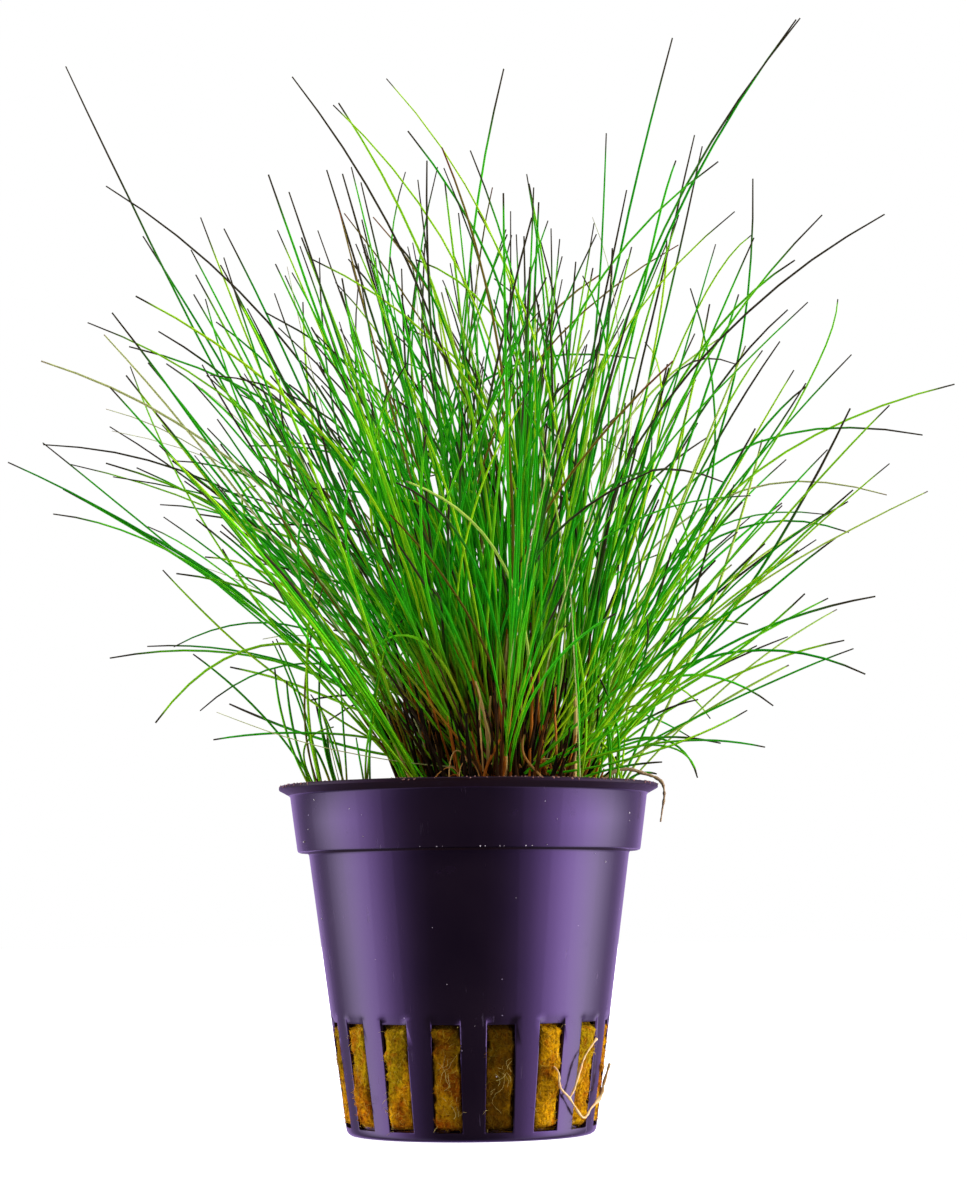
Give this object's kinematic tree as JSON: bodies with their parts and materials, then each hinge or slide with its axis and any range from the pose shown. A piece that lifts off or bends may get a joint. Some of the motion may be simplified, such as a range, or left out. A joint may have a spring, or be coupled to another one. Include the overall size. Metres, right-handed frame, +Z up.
{
  "type": "potted dwarf hairgrass",
  "caption": "Fan of fine grass blades rising from a root crown on a wool plug, in a small tapered net pot with upright slots.",
  "frame": {"origin": "middle of the pot's flat base, on the surface that it stands on", "axes": "+Z up the pot's axis, -Y towards the viewer, +X to the viewer's right"},
  "size_m": [0.1397, 0.1259, 0.1598],
  "materials": {
    "pot_plastic": "satin",
    "wool": "matte",
    "crown": "matte",
    "leaf": "satin",
    "young_leaf": "satin",
    "root": "satin",
    "straw": "matte"
  },
  "bodies": {
    "root": {"net_pot": "pot_plastic", "wool_plug": "wool", "root_crown": "crown", "stray_root": "root", "dry_leaf": "straw", "tuft_01": "leaf", "tuft_02": "leaf", "tuft_03": "leaf", "tuft_04": "leaf", "tuft_05": "leaf", "tuft_06": "leaf", "tuft_07": "leaf", "tuft_08": "leaf", "tuft_09": "leaf", "tuft_10": "leaf", "tuft_11": "leaf", "tuft_12": "leaf", "tuft_13": "leaf", "tuft_14": "leaf", "tuft_15": "leaf", "tuft_16": "leaf", "tuft_17": "leaf", "tuft_18": "leaf", "tuft_19": "leaf", "tuft_20": "leaf", "tuft_21": "leaf", "tuft_22": "leaf", "tuft_23": "leaf", "tuft_24": "leaf", "tuft_25": "leaf", "tuft_26": "leaf", "tuft_27": "leaf", "tuft_28": "leaf", "tuft_29": "leaf", "tuft_30": "leaf", "tuft_31": "leaf", "tuft_32": "leaf", "tuft_33": "leaf", "tuft_34": "leaf", "tuft_35": "leaf", "tuft_36": "leaf", "tuft_37": "leaf", "tuft_38": "leaf", "tuft_39": "leaf", "tuft_40": "leaf", "tuft_41": "leaf", "tuft_42": "leaf", "tuft_43": "leaf", "tuft_44": "leaf", "tuft_45": "leaf", "shoot_01": "young_leaf", "shoot_02": "young_leaf", "shoot_03": "young_leaf", "shoot_04": "young_leaf", "shoot_05": "young_leaf", "shoot_06": "young_leaf", "shoot_07": "young_leaf", "shoot_08": "young_leaf", "shoot_09": "young_leaf"}
  },
  "joints": []
}
